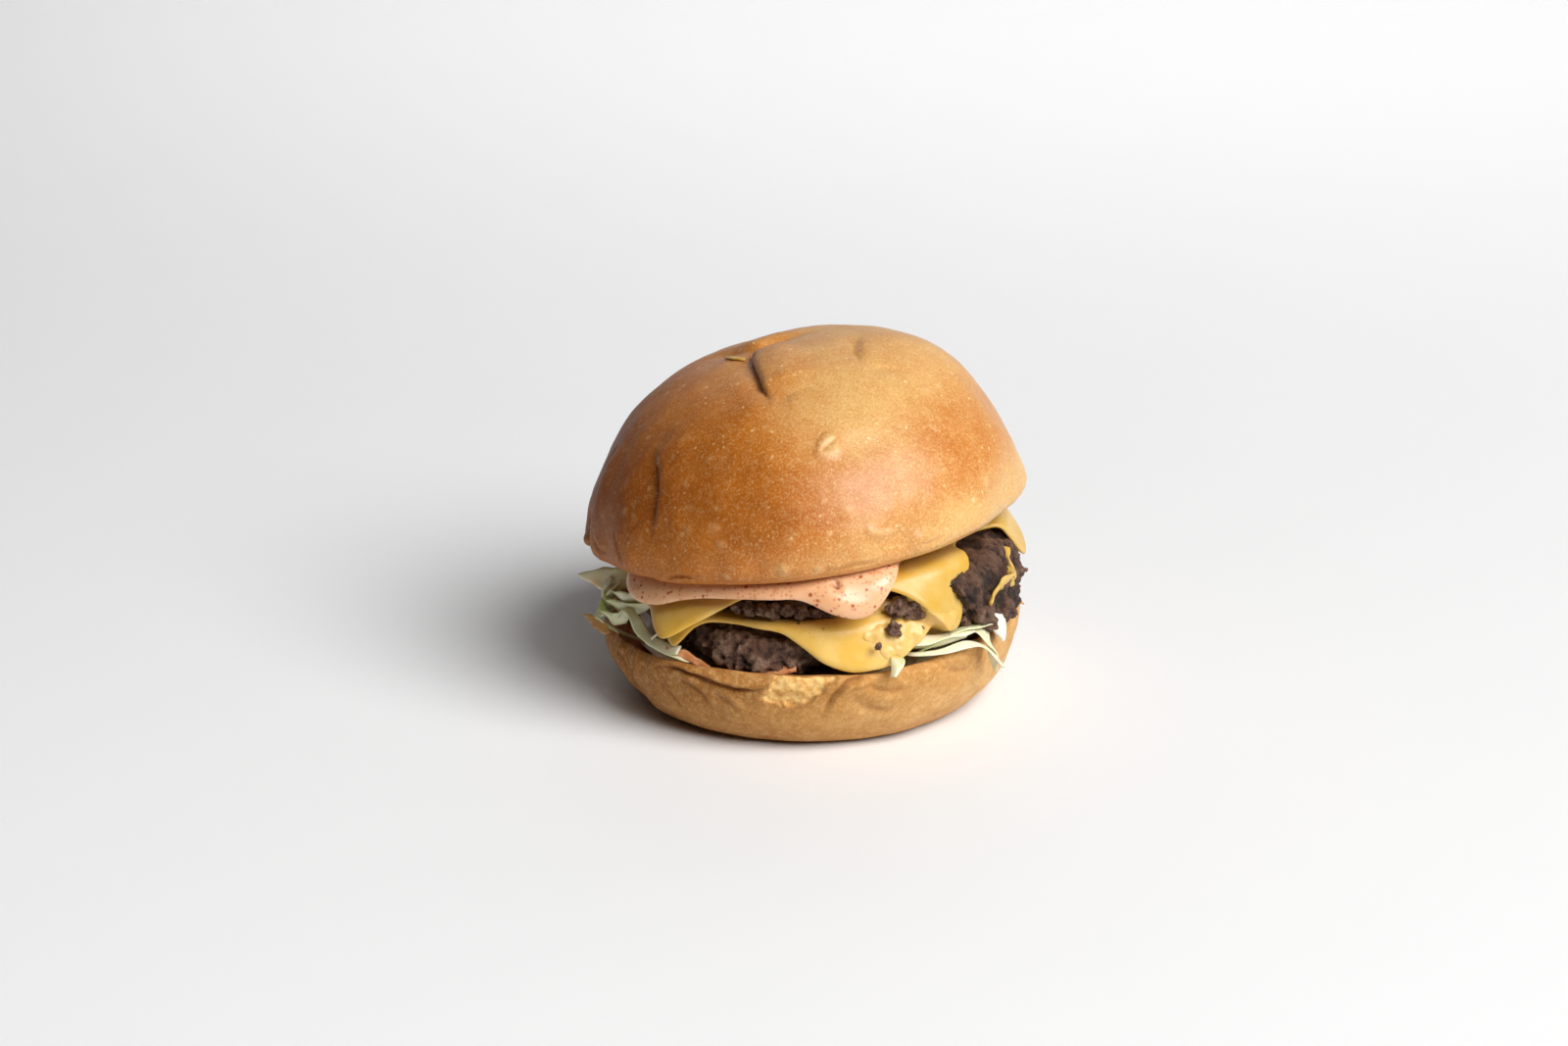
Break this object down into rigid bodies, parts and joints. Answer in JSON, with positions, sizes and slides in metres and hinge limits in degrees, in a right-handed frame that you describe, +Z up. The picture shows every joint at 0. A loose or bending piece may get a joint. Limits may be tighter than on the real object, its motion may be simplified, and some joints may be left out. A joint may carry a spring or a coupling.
{
  "type": "cheeseburger",
  "caption": "Cheeseburger with smashed beef patties, melted cheese, pink sauce, shredded lettuce and a shiny domed bun, to serve or eat.",
  "frame": {"origin": "centre of the flat foot that the heel stands on", "axes": "+Z up through the crown, -Y towards the front of the burger, which is the side the picture shows, +X to the right as seen from the front"},
  "size_m": [0.1124, 0.1107, 0.0926],
  "materials": {
    "crown_crust": "baked and slightly glossy, golden brown with small pale specks",
    "heel_crust": "baked, matt, pale golden brown",
    "beef_lower": "seared, rough, dark brown with moist glints",
    "beef_upper": "seared, rough, dark brown with moist glints",
    "cheese_lower": "melted, smooth, warm yellow",
    "cheese_upper": "softened, smooth, warm yellow",
    "pink_sauce": "creamy, glossy, orange pink with red specks",
    "lettuce_leaf": "crisp, pale green to white, slightly glossy",
    "onion_flesh": "raw, white, slightly translucent look"
  },
  "bodies": {
    "root": {"crown": "crown_crust", "heel": "heel_crust", "patty_lower": "beef_lower", "patty_upper": "beef_upper", "cheese_lower": "cheese_lower", "cheese_upper": "cheese_upper", "sauce": "pink_sauce", "lettuce": "lettuce_leaf", "onion_piece": "onion_flesh"}
  },
  "joints": []
}
